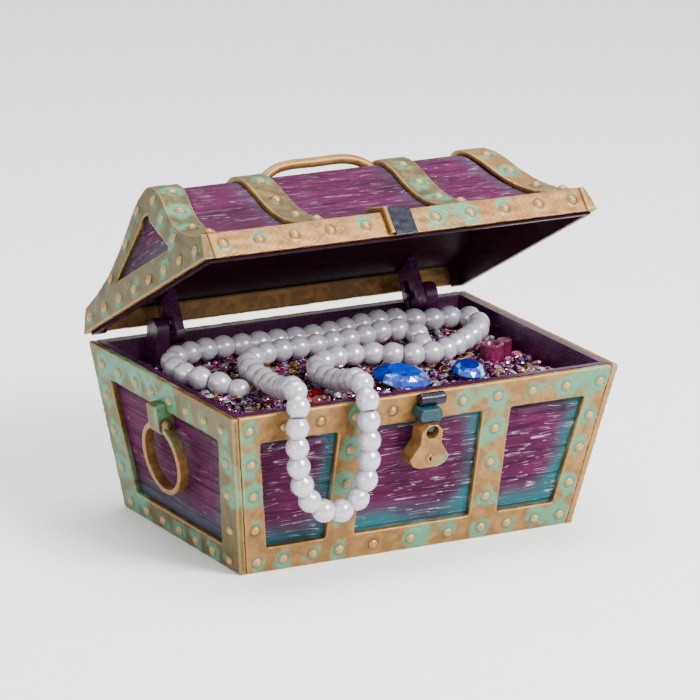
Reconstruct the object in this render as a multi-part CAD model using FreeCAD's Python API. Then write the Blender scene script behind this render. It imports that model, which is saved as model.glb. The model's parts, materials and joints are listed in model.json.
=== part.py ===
import FreeCAD, Part
import math
import os
from FreeCAD import Placement, Rotation, Vector

# An aquarium treasure chest that opens when bubbles gather under its lid. Millimetres, +Z up.
# X runs along the chest, -Y is its front, and the origin is the middle of its underside.

os.makedirs("parts", exist_ok=True)

# ---- driving dimensions of the chest ----
TOP_W, TOP_D = 148.0, 98.9
FOOT_W, FOOT_D = 128.1, 80.0
BASE_H = 57.1
BAND_T = 2.6            # thickness of the moulded metal-look bands
TUB_T = 2.2             # wall of the plank tub behind them
TOP_BAND = 10.4         # height of the top band, measured down the slope
FOOT_BAND_V = 49.0      # where the foot band starts, measured down the slope
STRAP_IN, STRAP_OUT = 22.0, 33.0
WINDOW_TOP, WINDOW_FOOT = 62.0, 55.0
SIDE_WINDOW_TOP, SIDE_WINDOW_FOOT = 37.0, 29.5
PLATE_H = 3.0           # bottom plate
TRAY_Z, TRAY_TOP = 44.0, 47.5
RIB_R, RIB_V, RIB_SPANS = 1.5, 13.4, ((-59.0, -37.0), (37.0, 59.0))

# ---- rivets, moulded on the bands ----
RIVET_R, RIVET_H = 1.6, 1.0
FRONT_TOP_ROW = (13.4, 27.0, 40.4, 53.8, 67.0)
FRONT_FOOT_ROW = (0.0, 14.3, 27.3, 37.4, 48.4, 58.3)
FRONT_COLUMN = ((64.7, 17.6), (62.5, 29.2), (60.3, 41.9))
STRAP_ROW = (17.2, 29.6, 42.3)
SIDE_TOP_STEP, SIDE_TOP_V = 11.7, 6.0
SIDE_FOOT_STEP, SIDE_FOOT_V = 11.3, 54.2
SIDE_COLUMN = ((40.7, 17.5), (38.7, 29.5), (37.1, 42.5))
EDGE_V, STRAP_X = 5.2, 27.5

# ---- lid, drawn closed-flat, then tipped open about the hinge axis ----
LID_W, LID_D = 150.3, 94.6
LID_BAND_H, LID_BAND_IN = 8.8, 1.9
ROOF = ((30.7, 13.5), (21.0, 20.0), (15.6, 25.7), (10.1, 31.8), (4.2, 35.8), (0.0, 36.8))
END_LEAN = math.tan(math.radians(17.5))
LID_SKIN, LID_WALL = 2.2, 1.8
SHELL_LIP, REAR_LIP = 0.8, 6.4
LID_OPEN = 30.0
LID_Y, LID_Z = 50.8, 58.5       # where the lid's rear bottom edge is
HINGE_Y, HINGE_Z = 50.8, 55.8
LID_RIVET_X = (13.3, 26.6, 40.0, 53.2, 66.5)
LID_RIVET_B, END_RIVET_STEP = 4.5, 11.7

ROOF_RIVETS = (0.3, 1.3, 2.6, 4.0)
END_STRAP = 10.5
WINDOW_LOW, WINDOW_HIGH, WINDOW_HALF, WINDOW_TIP = 11.0, 27.0, 20.5, 3.0
HASP_T, HASP_LEFT, HASP_RIGHT, HASP_TOP = 1.5, -4.3, 4.2, 12.0
HANDLE_HALF, HANDLE_R, HANDLE_B, HANDLE_FOOT_B = 21.6, 1.75, 38.6, 34.0

# ---- hinge posts, arms and pins ----
POST_X, POST_W, POST_D, POST_Y = 50.0, 5.0, 8.0, 39.6
ARM_X, ARM_W = 45.4, 3.4
PIN_Z, PIN_R, SLOT_GAP = 60.9, 1.2, 0.15
SLOT_UP, SLOT_DOWN = 17.0, 28.0

# ---- air line inside the base ----
NOZZLE_X, NOZZLE_Y, NOZZLE_TOP = 52.0, -4.5, 55.0
NOZZLE_R, NOZZLE_BORE = 4.15, 2.0
PIPE_R, PIPE_Z, PIPE_BEND = 3.0, 14.0, 9.0
SPIGOT_R, SPIGOT_L, SPIGOT_BORE = 2.4, 9.0, 1.2
FLANGE_R, FLANGE_L = 4.4, 3.0
BOSS_R, BOSS_X, BOSS_Y, BOSS_TOP = 2.6, 62.0, 3.5, 53.0

# ---- catch, padlock and ring handles, measured on the sloping sides ----
BARREL_R, BARREL_HALF, BARREL_V, BARREL_N = 2.25, 4.65, 1.9, 1.5
LOCK_X = -1.8
STAPLE_HALF, STAPLE_V0, STAPLE_V1, STAPLE_N = 4.2, 3.6, 8.0, 6.2
LOCK_PIN_V, LOCK_PIN_R, LOCK_HOLE_R = 10.3, 1.4, 2.3
NECK_HALF, NECK_V0, NECK_V1, NECK_BEVEL = 4.0, 8.5, 15.2, 2.2
LOCK_HALF, LOCK_V1, LOCK_N0, LOCK_N1 = 7.5, 24.0, 1.3, 7.8
RING_R, RING_T, RING_V, RING_N0, RING_N1 = 12.65, 1.9, 27.4, -0.5, 3.2
RING_PIN_V, RING_PIN_R, LUG_HALF = 14.6, 1.1, 3.2
LUG_V1, LUG_N = 18.4, 4.2

# ---- stones ----
OVAL_R, OVAL_H, OVAL_STRETCH, OVAL_PLACE = 6.8, 6.0, 1.45, (6.0, -21.0, 50.9)
ROUND_R, ROUND_H, ROUND_PLACE = 6.0, 4.6, (31.5, -22.0, 51.0)
RED_R, RED_H, RED_PLACE = 4.6, 4.0, (-30.2, -28.0, 50.9)
SMALL_R, SMALL_H, SMALL_PITCH = 2.1, 2.0, 6.6

# ---- pearls ----
PEARL_R, PEARL_PITCH, THREAD_R = 3.9, 7.95, 0.5

# The route of the pearl thread, from where it comes out of the gems to where it goes back in.
THREAD = (
    (-47.5, -7, 51.7), (-54.5, -3.5, 54.8), (-60, 5.5, 55), (-60, 16, 55), (-55, 25.5, 55), (-46, 28.6, 55),
    (-36, 30, 55), (-26, 28.8, 55), (-15.5, 29.2, 55), (-5, 28.4, 55), (6, 28.6, 55), (16.5, 30, 55.5),
    (27, 31.2, 56.2), (37, 30.4, 56), (46.5, 27.4, 55.2), (55, 28.4, 55.2), (62, 24.6, 55.3), (59.8, 14.9, 55),
    (51.5, 7.4, 55), (42, 0.2, 55), (32.5, -5, 55), (23, -6.2, 55), (14.5, -1.5, 55), (6.5, 3.8, 55),
    (-3.5, 3.8, 55), (-13, 0, 55), (-19.4, -8.5, 55.2), (-20.4, -19, 56), (-21.6, -29, 57.4),
    (-23.4, -38, 60.8), (-25.2, -46.5, 63.9), (-26.8, -54.6, 61.8), (-26.3, -55.2, 52.5), (-25.3, -54.6, 42.5),
    (-25.3, -54, 32), (-29.2, -53.2, 23.4), (-37.5, -52.8, 21.2), (-45.8, -53, 25.4), (-50.6, -53.8, 34.5),
    (-52.4, -54.6, 44), (-53, -55.2, 53.5), (-52.4, -54.6, 62), (-49.5, -46.5, 64), (-46.4, -38, 61),
    (-43.5, -28.5, 57.8), (-41.6, -18.5, 56.2), (-39.4, -8, 55.4), (-38.6, 2.5, 55), (-33.8, 11.5, 55),
    (-25, 17.2, 55), (-14.5, 18.4, 55), (-4, 17.8, 55.2), (6.5, 19.4, 55), (17, 20.2, 55.3), (27, 22.2, 55.8),
    (34.6, 19.8, 55.2), (35.8, 12.2, 53.8), (30.2, 7.4, 51.7),
)
RUN_SHARE = 0.45


def lerp(a, b, t):
    return a + (b - a) * t


def half_size(z):
    """Half width and half depth of the chest's outside at a height."""
    t = z / BASE_H
    return lerp(FOOT_W, TOP_W, t) / 2, lerp(FOOT_D, TOP_D, t) / 2


def solid_of(faces):
    shell = Part.Shell([Part.Face(Part.makePolygon(list(f) + [f[0]])) for f in faces])
    solid = Part.Solid(shell)
    if solid.Volume < 0:
        solid.reverse()
    return solid


def frustum(in_x, in_y, z0, z1):
    """The chest's tapered outline between two heights, drawn in on each side."""
    rings = []
    for z in (z0, z1):
        hx, hy = half_size(z)
        hx, hy = hx - in_x, hy - in_y
        rings.append([Vector(-hx, -hy, z), Vector(hx, -hy, z), Vector(hx, hy, z), Vector(-hx, hy, z)])
    low, high = rings
    walls = [[low[i], low[(i + 1) % 4], high[(i + 1) % 4], high[i]] for i in range(4)]
    return solid_of([low[::-1], high] + walls)


class Face:
    """One sloping side of the base: u runs to the viewer's right, v down the slope, n outward."""

    def __init__(self, outward):
        top = half_size(BASE_H)
        foot = half_size(0)
        along_x = abs(outward.x) > 0
        reach_top, reach_foot = (top[0], foot[0]) if along_x else (top[1], foot[1])
        self.origin = outward * reach_top + Vector(0, 0, BASE_H)
        self.down = (outward * reach_foot - self.origin).normalize()
        self.right = Vector(-outward.y, outward.x, 0)
        self.normal = self.down.cross(self.right)
        self.length = (outward * reach_foot - self.origin).Length

    def at(self, u, v, n=0.0):
        return self.origin + self.right * u + self.down * v + self.normal * n

    def prism(self, outline, n0, n1):
        """A flat outline on this side, from depth n0 to n1."""
        points = [self.at(u, v, n0) for u, v in outline]
        face = Part.Face(Part.makePolygon(points + [points[0]]))
        return face.extrude(self.normal * (n1 - n0))

    def rod(self, u, v, radius, n0, n1):
        return Part.makeCylinder(radius, n1 - n0, self.at(u, v, n0), self.normal)


FRONT = Face(Vector(0, -1, 0))
REAR = Face(Vector(0, 1, 0))
LEFT = Face(Vector(-1, 0, 0))
RIGHT = Face(Vector(1, 0, 0))


def rect(u0, u1, v0, v1):
    return ((u0, v0), (u1, v0), (u1, v1), (u0, v1))


def rounded_prism(side, u0, u1, v0, v1, radius, n0, n1):
    body = side.prism(rect(u0, u1, v0, v1), n0, n1)
    upright = [e for e in body.Edges if abs(e.tangentAt(e.FirstParameter).dot(side.normal)) > 0.99]
    return body.makeFillet(radius, upright)


def dome(centre, normal):
    """A rivet head: the cap of a ball that is sunk into the band."""
    ball = (RIVET_R ** 2 + RIVET_H ** 2) / (2 * RIVET_H)
    return Part.makeSphere(ball, centre + normal * (RIVET_H - ball))


def mirrored(points):
    return sorted({(s * u, v) for u, v in points for s in (1, -1)})


def front_rivets():
    points = [(x, EDGE_V) for x in FRONT_TOP_ROW] + list(FRONT_COLUMN)
    points += [(x, SIDE_FOOT_V - 0.4) for x in FRONT_FOOT_ROW]
    points += [(STRAP_X, v) for v in STRAP_ROW]
    return mirrored(points)


def side_rivets():
    points = [(SIDE_TOP_STEP * (i + 0.5), SIDE_TOP_V) for i in range(4)] + list(SIDE_COLUMN)
    points += [(SIDE_FOOT_STEP * i, SIDE_FOOT_V) for i in range(4)]
    return mirrored(points)


# ---- the base ----

def band_skin():
    """The four bands before their windows are cut: the end pairs wrap round the corners."""
    whole = frustum(0, 0, 0, BASE_H)
    between = frustum(BAND_T, -1, -1, BASE_H + 1)
    inside = frustum(BAND_T, BAND_T, -1, BASE_H + 1)
    ends = whole.cut(between)
    fronts = whole.common(frustum(BAND_T, 0, 0, BASE_H)).cut(inside)
    return ends.Solids, fronts.Solids


def pick(solids, direction):
    return max(solids, key=lambda s: s.CenterOfMass.dot(direction))


def long_frame(solid, side):
    cuts = [((-STRAP_IN, TOP_BAND), (STRAP_IN, TOP_BAND), (STRAP_IN, FOOT_BAND_V), (-STRAP_IN, FOOT_BAND_V))]
    for s in (1, -1):
        cuts.append(((s * STRAP_OUT, TOP_BAND), (s * WINDOW_TOP, TOP_BAND),
                     (s * WINDOW_FOOT, FOOT_BAND_V), (s * STRAP_OUT, FOOT_BAND_V)))
    for outline in cuts:
        solid = solid.cut(side.prism(outline, -2 * BAND_T, BAND_T))
    return solid.fuse([dome(side.at(u, v), side.normal) for u, v in front_rivets()])


def end_frame(solid, side):
    outline = ((-SIDE_WINDOW_TOP, 11.0), (SIDE_WINDOW_TOP, 11.0),
               (SIDE_WINDOW_FOOT, 49.7), (-SIDE_WINDOW_FOOT, 49.7))
    solid = solid.cut(side.prism(outline, -2 * BAND_T, BAND_T))
    return solid.fuse([dome(side.at(u, v), side.normal) for u, v in side_rivets()])


def plank_rib(side, u0, u1, v):
    """A round-ended moulding that stands off the planks, below a band."""
    bar = Part.makeCylinder(RIB_R, u1 - u0, side.at(u0, v, -BAND_T), side.right)
    return bar.fuse([Part.makeSphere(RIB_R, side.at(u, v, -BAND_T)) for u in (u0, u1)])


def inner_tub():
    """The plank tub, with a hole low in its back for the airline connector."""
    outer = frustum(BAND_T, BAND_T, 0, BASE_H)
    tub = outer.cut(frustum(BAND_T + TUB_T, BAND_T + TUB_T, -1, BASE_H + 1))
    hollow = frustum(BAND_T + TUB_T, BAND_T + TUB_T, 0, BASE_H)
    ribs = [plank_rib(side, *span, RIB_V).cut(hollow) for side in (FRONT, REAR) for span in RIB_SPANS]
    hole = Part.makeCylinder(PIPE_R, 20, Vector(NOZZLE_X, FOOT_D / 2 - 10, PIPE_Z), Vector(0, 1, 0))
    return tub.fuse(ribs).cut(hole)


def tray():
    wall = BAND_T + TUB_T
    plate = frustum(wall, wall, TRAY_Z, TRAY_TOP)
    return plate.cut(Part.makeCylinder(NOZZLE_BORE, 10, Vector(NOZZLE_X, NOZZLE_Y, TRAY_Z - 3)))



def ring_solid(outer, inner, length, base, axis=Vector(0, 0, 1)):
    return Part.makeCylinder(outer, length, base, axis).cut(Part.makeCylinder(inner, length, base, axis))


def air_nozzle():
    base = Vector(NOZZLE_X, NOZZLE_Y, TRAY_TOP)
    stub = ring_solid(NOZZLE_R, NOZZLE_BORE, NOZZLE_TOP - TRAY_TOP, base)
    mouth = Part.makeCone(NOZZLE_BORE, NOZZLE_BORE + 0.9, 1.5, Vector(NOZZLE_X, NOZZLE_Y, NOZZLE_TOP - 1.5))
    return stub.cut(mouth)


def air_pipe():
    start = Vector(NOZZLE_X, half_size(PIPE_Z)[1] - BAND_T - TUB_T - 1.0, PIPE_Z)
    corner = Vector(NOZZLE_X, NOZZLE_Y, PIPE_Z)
    top = Vector(NOZZLE_X, NOZZLE_Y, TRAY_Z)
    before = corner + Vector(0, PIPE_BEND, 0)
    after = corner + Vector(0, 0, PIPE_BEND)
    centre = corner + Vector(0, PIPE_BEND, PIPE_BEND)
    middle = centre - Vector(0, 1, 1).normalize() * PIPE_BEND
    path = Part.Wire([Part.LineSegment(start, before).toShape(), Part.Arc(before, middle, after).toShape(),
                      Part.LineSegment(after, top).toShape()])
    tubes = []
    for radius in (PIPE_R, NOZZLE_BORE):
        section = Part.Wire(Part.makeCircle(radius, start, Vector(0, -1, 0)))
        tubes.append(path.makePipeShell([section], True, False))
    return tubes[0].cut(tubes[1])


def air_inlet():
    """The airline connector: a flange in the rear window and a hose stub that stands straight out."""
    back = Vector(0, 1, 0)
    start = Vector(NOZZLE_X, half_size(PIPE_Z)[1] - BAND_T - TUB_T - 1.0, PIPE_Z)
    seat = Vector(NOZZLE_X, half_size(PIPE_Z)[1] - BAND_T, PIPE_Z)
    neck = Part.makeCylinder(PIPE_R, (seat - start).Length, start, back)
    flange = Part.makeCylinder(FLANGE_R, FLANGE_L, seat, back)
    stub = Part.makeCylinder(SPIGOT_R, SPIGOT_L, seat + back * FLANGE_L, back)
    bore = Part.makeCylinder(SPIGOT_BORE, 30, start, back)
    return neck.fuse([flange, stub]).cut(bore)


# ---- the lid ----

def offset_line(points, inset):
    """A line of corners moved in by the same distance everywhere, mitred at each corner."""
    moved = []
    for i, p in enumerate(points):
        normals = []
        for a, b in ((i - 1, i), (i, i + 1)):
            if a >= 0 and b < len(points):
                d = Vector(points[b][0] - points[a][0], points[b][1] - points[a][1], 0).normalize()
                normals.append(Vector(-d.y, d.x, 0))
        mitre = normals[0] + normals[-1]
        mitre.normalize()
        step = inset / mitre.dot(normals[0])
        moved.append((p[0] + mitre.x * step, p[1] + mitre.y * step))
    return moved


def lowered(first, second, b):
    """The point at height b on the line through two points."""
    t = (b - first[1]) / (second[1] - first[1])
    return lerp(first[0], second[0], t), b


def lid_solid(inset, low=0.0):
    """The lid's outline, drawn in by a distance, down to height low. Local y is minus the depth."""
    half = LID_D / 2
    side = [(half, 0.0), (half - LID_BAND_IN, LID_BAND_H)] + list(ROOF)
    full = side + [(-x, b) for x, b in side[-2::-1]]
    full = offset_line(full, inset)
    full[0] = lowered(full[0], full[1], low)
    full[-1] = lowered(full[-1], full[-2], low)
    points = [Vector(0, x - half, b) for x, b in full]
    curve = Part.BSplineCurve()
    curve.interpolate(points[1:-1])
    edges = [Part.LineSegment(points[0], points[1]).toShape(), curve.toShape(),
             Part.LineSegment(points[-2], points[-1]).toShape(), Part.LineSegment(points[-1], points[0]).toShape()]
    reach = LID_W / 2 + 5
    profile = Part.Face(Part.Wire(edges))
    profile.translate(Vector(-reach, 0, 0))
    prism = profile.extrude(Vector(2 * reach, 0, 0))

    top = 45.0
    foot = LID_W / 2 - LID_BAND_IN
    end = [(LID_W / 2, 0.0), (foot, LID_BAND_H), (foot - END_LEAN * (top - LID_BAND_H), top)]
    end = offset_line(end, inset)
    end[0] = lowered(end[0], end[1], low)
    outline = [Vector(x, 20, b) for x, b in end] + [Vector(-x, 20, b) for x, b in end[::-1]]
    wedge = Part.Face(Part.makePolygon(outline + [outline[0]])).extrude(Vector(0, -LID_D - 40, 0))
    return prism.common(wedge)


def tip(shape):
    """Moves a lid piece from its own flat drawing to where the open lid holds it."""
    shape = shape.copy()
    shape.rotate(Vector(0, 0, 0), Vector(1, 0, 0), -LID_OPEN)
    shape.translate(Vector(0, LID_Y, LID_Z))
    return shape


def block(x0, x1, y0, y1, z0, z1):
    return Part.makeBox(x1 - x0, y1 - y0, z1 - z0, Vector(x0, y0, z0))


def lid_surface(b):
    """Distance from the middle of the lid to its outside at height b on the bands."""
    return LID_D / 2 - LID_BAND_IN * b / LID_BAND_H


LID_SKIN_SOLID = lid_solid(0).cut(lid_solid(LID_SKIN, -3.0))
LID_FAR = 200.0
END_SEAM = LID_W / 2 - LID_BAND_IN - LID_SKIN - 0.1
MIDDLE_Y = -LID_D / 2


def lid_shell():
    shell = lid_solid(LID_SKIN, -SHELL_LIP).cut(lid_solid(LID_SKIN + LID_WALL, -SHELL_LIP - 1))
    return shell.cut(block(-END_SEAM + 3, END_SEAM - 3, -8, 8, -3, REAR_LIP))


def riveted(band, rivets, keep):
    """Rivet heads moulded on a band, trimmed where they would reach into its neighbours."""
    return band.fuse(rivets).cut(lid_solid(LID_SKIN, -3.0)).common(keep)


def lid_band(front):
    low, high = (-LID_FAR, MIDDLE_Y) if front else (MIDDLE_Y, LID_FAR)
    room = block(-END_SEAM, END_SEAM, low, high, -1, LID_BAND_H)
    band = LID_SKIN_SOLID.common(room)
    sign = -1 if front else 1
    slope = math.atan2(LID_BAND_IN, LID_BAND_H)
    normal = Vector(0, sign * math.cos(slope), math.sin(slope))
    y = MIDDLE_Y + sign * lid_surface(LID_RIVET_B)
    rivets = [dome(Vector(s * x, y, LID_RIVET_B), normal) for x in LID_RIVET_X for s in (1, -1)]
    return riveted(band, rivets, room)


def roof_point(x, share, front):
    """A point on the roof, a share of the way from the band to the ridge, and the outward normal there."""
    half = [(LID_D / 2 - LID_BAND_IN, LID_BAND_H)] + list(ROOF)
    place = share * (len(half) - 1)
    i = min(int(place), len(half) - 2)
    a, b = half[i], half[i + 1]
    y, z = lerp(a[0], b[0], place - i), lerp(a[1], b[1], place - i)
    normal = Vector(0, a[1] - b[1], b[0] - a[0])
    normal = Vector(0, abs(normal.y), abs(normal.z)).normalize()
    sign = -1 if front else 1
    return Vector(x, MIDDLE_Y + sign * y, z), Vector(0, sign * normal.y, normal.z)


def roof_rivets(x):
    places = [roof_point(x, row / (len(ROOF)), front) for row in ROOF_RIVETS for front in (True, False)]
    return [dome(point, normal) for point, normal in places]


def lid_strap(x0, x1):
    room = block(x0, x1, -LID_FAR, LID_FAR, LID_BAND_H, LID_FAR)
    return riveted(LID_SKIN_SOLID.common(room), roof_rivets((x0 + x1) / 2), room)


def end_x(b):
    return LID_W / 2 - LID_BAND_IN - END_LEAN * (b - LID_BAND_H)


def lid_end_frame(sign):
    """The end of the lid: band, leaning gable with its window, and the strap that laps the roof."""
    low_room = block(END_SEAM, LID_FAR, -LID_FAR, LID_FAR, -1, LID_BAND_H)
    inner = [(end_x(LID_BAND_H) - END_STRAP, LID_BAND_H), (end_x(45) - END_STRAP, 45.0)]
    outline = [Vector(x, 20, b) for x, b in inner] + [Vector(LID_FAR, 20, 45), Vector(LID_FAR, 20, LID_BAND_H)]
    keep = Part.Face(Part.makePolygon(outline + [outline[0]])).extrude(Vector(0, -LID_D - 40, 0))
    keep = keep.fuse(low_room)
    window = [(-WINDOW_HALF, WINDOW_LOW), (WINDOW_HALF, WINDOW_LOW), (WINDOW_TIP + 1, WINDOW_HIGH - 3),
              (WINDOW_TIP - 1, WINDOW_HIGH), (-WINDOW_TIP + 1, WINDOW_HIGH), (-WINDOW_TIP - 1, WINDOW_HIGH - 3)]
    points = [Vector(50, MIDDLE_Y + y, b) for y, b in window]
    opening = Part.Face(Part.makePolygon(points + [points[0]])).extrude(Vector(30, 0, 0))
    far_side = end_x(WINDOW_LOW) - END_STRAP + 1.5
    opening = opening.common(block(far_side - 6, LID_FAR, -LID_FAR, LID_FAR, 0, 40))
    frame = LID_SKIN_SOLID.common(keep).cut(opening)

    lean = math.atan(END_LEAN)
    gable = Vector(math.cos(lean), 0, math.sin(lean))
    band_lean = math.atan2(LID_BAND_IN, LID_BAND_H)
    band = Vector(math.cos(band_lean), 0, math.sin(band_lean))
    band_x = LID_W / 2 - LID_BAND_IN * LID_RIVET_B / LID_BAND_H
    rivets = [dome(Vector(band_x, MIDDLE_Y + s * END_RIVET_STEP * (i + 0.5), LID_RIVET_B), band)
              for i in range(4) for s in (1, -1)]
    for b, y in ((13.0, 24.5), (22.0, 14.0), (30.5, 6.5)):
        rivets += [dome(Vector(end_x(b), MIDDLE_Y + s * y, b), gable) for s in (1, -1)]
    for row in ROOF_RIVETS:
        for front in (True, False):
            point, normal = roof_point(0, row / len(ROOF), front)
            rivets.append(dome(Vector(end_x(point.z) - END_STRAP / 2, point.y, point.z), normal))
    frame = riveted(frame, rivets, keep)
    return frame if sign > 0 else frame.mirror(Vector(0, 0, 0), Vector(1, 0, 0))


def hasp():
    layer = lid_solid(-HASP_T, -0.5).cut(lid_solid(0, -1.0))
    plate = layer.common(block(HASP_LEFT, HASP_RIGHT, -LID_FAR, MIDDLE_Y, -0.5, HASP_TOP))
    return plate


def hasp_edge():
    layer = lid_solid(-HASP_T - 0.3, -0.5).cut(lid_solid(0, -1.0))
    return layer.common(block(HASP_LEFT - 1.6, HASP_LEFT, -LID_FAR, MIDDLE_Y, 0.6, HASP_TOP))


def top_handle():
    """A low bail: a bar that rises from the ridge beside one mid strap and comes down beside the other."""
    ends = [Vector(s * HANDLE_HALF, MIDDLE_Y, HANDLE_FOOT_B) for s in (-1, 1)]
    crown = Vector(0, MIDDLE_Y, HANDLE_B)
    shoulders = [Vector(s * (HANDLE_HALF - 6), MIDDLE_Y, HANDLE_B - 1.0) for s in (-1, 1)]
    curve = Part.BSplineCurve()
    curve.interpolate([ends[0], shoulders[0], crown, shoulders[1], ends[1]])
    path = Part.Wire(curve.toShape())
    start = curve.tangent(curve.FirstParameter)[0]
    section = Part.Wire(Part.makeCircle(HANDLE_R, ends[0], start))
    bar = path.makePipeShell([section], True, False)
    straps = [lid_strap(s * (STRAP_IN + STRAP_OUT) / 2 - 5.5, s * (STRAP_IN + STRAP_OUT) / 2 + 5.5) for s in (-1, 1)]
    for taken in [lid_solid(LID_SKIN)] + straps:
        bar = bar.cut(taken)
    return max(bar.Solids, key=lambda s: s.Volume)


# ---- hinge ----

def hinge_local(y, z):
    """A point of the base, at rest, in the lid's own flat drawing."""
    point = Vector(0, y - LID_Y, z - LID_Z)
    return Rotation(Vector(1, 0, 0), LID_OPEN).multVec(point)


def hinge_arm(sign):
    """An arm that hangs from the lid, with a slot on a circle about the hinge axis."""
    axis = hinge_local(HINGE_Y, HINGE_Z)
    pin = hinge_local(POST_Y, PIN_Z)
    arm = block(ARM_X, ARM_X + ARM_W, -16.5, -6.0, -9.0, 20.0)
    corners = [e for e in arm.Edges if e.Length > ARM_W - 0.1 and e.Length < ARM_W + 0.1
               and e.CenterOfMass.z < 0]
    arm = arm.makeFillet(3.0, corners).common(lid_solid(LID_SKIN + LID_WALL, -12.0))
    reach = (pin - axis).Length
    middle = math.degrees(math.atan2(pin.z - axis.z, -(pin.y - axis.y)))
    half = PIN_R + SLOT_GAP
    low, high = middle - SLOT_UP, middle + SLOT_DOWN

    def place(radius, angle):
        t = math.radians(angle)
        return Vector(ARM_X - 1, axis.y - radius * math.cos(t), axis.z + radius * math.sin(t))

    mid = (low + high) / 2
    edges = [Part.Arc(place(reach + half, low), place(reach + half, mid), place(reach + half, high)).toShape(),
             Part.LineSegment(place(reach + half, high), place(reach - half, high)).toShape(),
             Part.Arc(place(reach - half, high), place(reach - half, mid), place(reach - half, low)).toShape(),
             Part.LineSegment(place(reach - half, low), place(reach + half, low)).toShape()]
    slot = Part.Face(Part.Wire(edges)).extrude(Vector(ARM_W + 2, 0, 0))
    ends = [Part.makeCylinder(half, ARM_W + 2, place(reach, a), Vector(1, 0, 0)) for a in (low, high)]
    arm = arm.cut(slot.fuse(ends))
    return arm if sign > 0 else arm.mirror(Vector(0, 0, 0), Vector(1, 0, 0))


def hinge_post(sign):
    radius = POST_D / 2
    centre = PIN_Z
    low = block(POST_X, POST_X + POST_W, POST_Y - radius, POST_Y + radius, TRAY_TOP, centre)
    cap = Part.makeCylinder(radius, POST_W, Vector(POST_X, POST_Y, centre), Vector(1, 0, 0))
    wall = frustum(BAND_T + TUB_T, BAND_T + TUB_T, 0, BASE_H + 20)
    post = low.fuse(cap).common(wall)
    post = post.cut(Part.makeCylinder(PIN_R, POST_W - 1, Vector(POST_X, POST_Y, PIN_Z), Vector(1, 0, 0)))
    return post if sign > 0 else post.mirror(Vector(0, 0, 0), Vector(1, 0, 0))


def hinge_pin(sign):
    inner = ARM_X - 0.6
    pin = Part.makeCylinder(PIN_R, POST_X + POST_W - 1 - inner, Vector(inner, POST_Y, PIN_Z), Vector(1, 0, 0))
    head = Part.makeCylinder(PIN_R + 0.8, 1.2, Vector(inner - 1.2, POST_Y, PIN_Z), Vector(1, 0, 0))
    pin = pin.fuse(head)
    return pin if sign > 0 else pin.mirror(Vector(0, 0, 0), Vector(1, 0, 0))


# ---- front furniture ----

def catch_barrel(frame):
    ends = FRONT.at(-BARREL_HALF, BARREL_V, BARREL_N)
    barrel = Part.makeCylinder(BARREL_R, 2 * BARREL_HALF, ends, FRONT.right)
    return barrel.cut(frame)


def padlock_staple(frame, barrel):
    """A bracket on the top band with a tongue behind the padlock's neck and a pin through it."""
    head = rounded_prism(FRONT, LOCK_X - STAPLE_HALF, LOCK_X + STAPLE_HALF, STAPLE_V0, STAPLE_V1, 1.5, 0, STAPLE_N)
    tongue = FRONT.prism(rect(LOCK_X - 2.2, LOCK_X + 2.2, STAPLE_V1 - 2, LOCK_PIN_V + 2), 0, LOCK_N0 - 0.3)
    pin = FRONT.rod(LOCK_X, LOCK_PIN_V, LOCK_PIN_R, 0.5, LOCK_N1 - 1.2)
    return head.fuse([tongue, pin]).cut(frame).cut(barrel)


def padlock():
    """A flared padlock body whose neck hangs on the staple's pin."""
    hole_v = LOCK_PIN_V + LOCK_HOLE_R - LOCK_PIN_R - 0.1
    crown = ((-NECK_HALF, NECK_V1 + 1), (-NECK_HALF, NECK_V0 + NECK_BEVEL), (-NECK_HALF + NECK_BEVEL, NECK_V0),
             (NECK_HALF - NECK_BEVEL, NECK_V0), (NECK_HALF, NECK_V0 + NECK_BEVEL), (NECK_HALF, NECK_V1 + 1))
    neck = FRONT.prism([(LOCK_X + u, v) for u, v in crown], LOCK_N0, LOCK_N1)
    flare = ((-NECK_HALF, NECK_V1), (NECK_HALF, NECK_V1), (LOCK_HALF, LOCK_V1 - 3.6),
             (LOCK_HALF - 1.4, LOCK_V1 - 1.2), (LOCK_HALF - 4, LOCK_V1),
             (-LOCK_HALF + 4, LOCK_V1), (-LOCK_HALF + 1.4, LOCK_V1 - 1.2), (-LOCK_HALF, LOCK_V1 - 3.6))
    body = FRONT.prism([(LOCK_X + u, v) for u, v in flare], LOCK_N0, LOCK_N1)
    keyhole = FRONT.rod(LOCK_X, LOCK_V1 - 3.6, 1.4, LOCK_N1 - 1, LOCK_N1 + 0.7)
    slot = FRONT.prism(rect(LOCK_X - 0.35, LOCK_X + 0.35, LOCK_V1 - 4.5, LOCK_V1 - 2.7), LOCK_N1 - 0.5, LOCK_N1 + 1)
    hole = FRONT.rod(LOCK_X, hole_v, LOCK_HOLE_R, 0, LOCK_N1 + 1)
    return neck.fuse([body, keyhole]).cut(hole).cut(slot)


def ring_lug(side, frame, tub):
    """A lug below the top band that the ring handle hangs from."""
    depth = (RING_N0 + RING_N1) / 2
    lug = side.prism(rect(-LUG_HALF, LUG_HALF, 8.0, LUG_V1), -BAND_T, LUG_N)
    low = [e for e in lug.Edges if abs(e.tangentAt(e.FirstParameter).dot(side.right)) > 0.99
           and (e.CenterOfMass - side.at(0, LUG_V1, LUG_N)).Length < 0.1]
    lug = lug.makeFillet(2.5, low)
    start = side.at(-LUG_HALF - 1, RING_PIN_V, depth)
    bore = Part.makeCylinder(RING_PIN_R + 0.05, 2 * LUG_HALF + 2, start, side.right)
    return lug.cut(bore).cut(frame).cut(tub)


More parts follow.
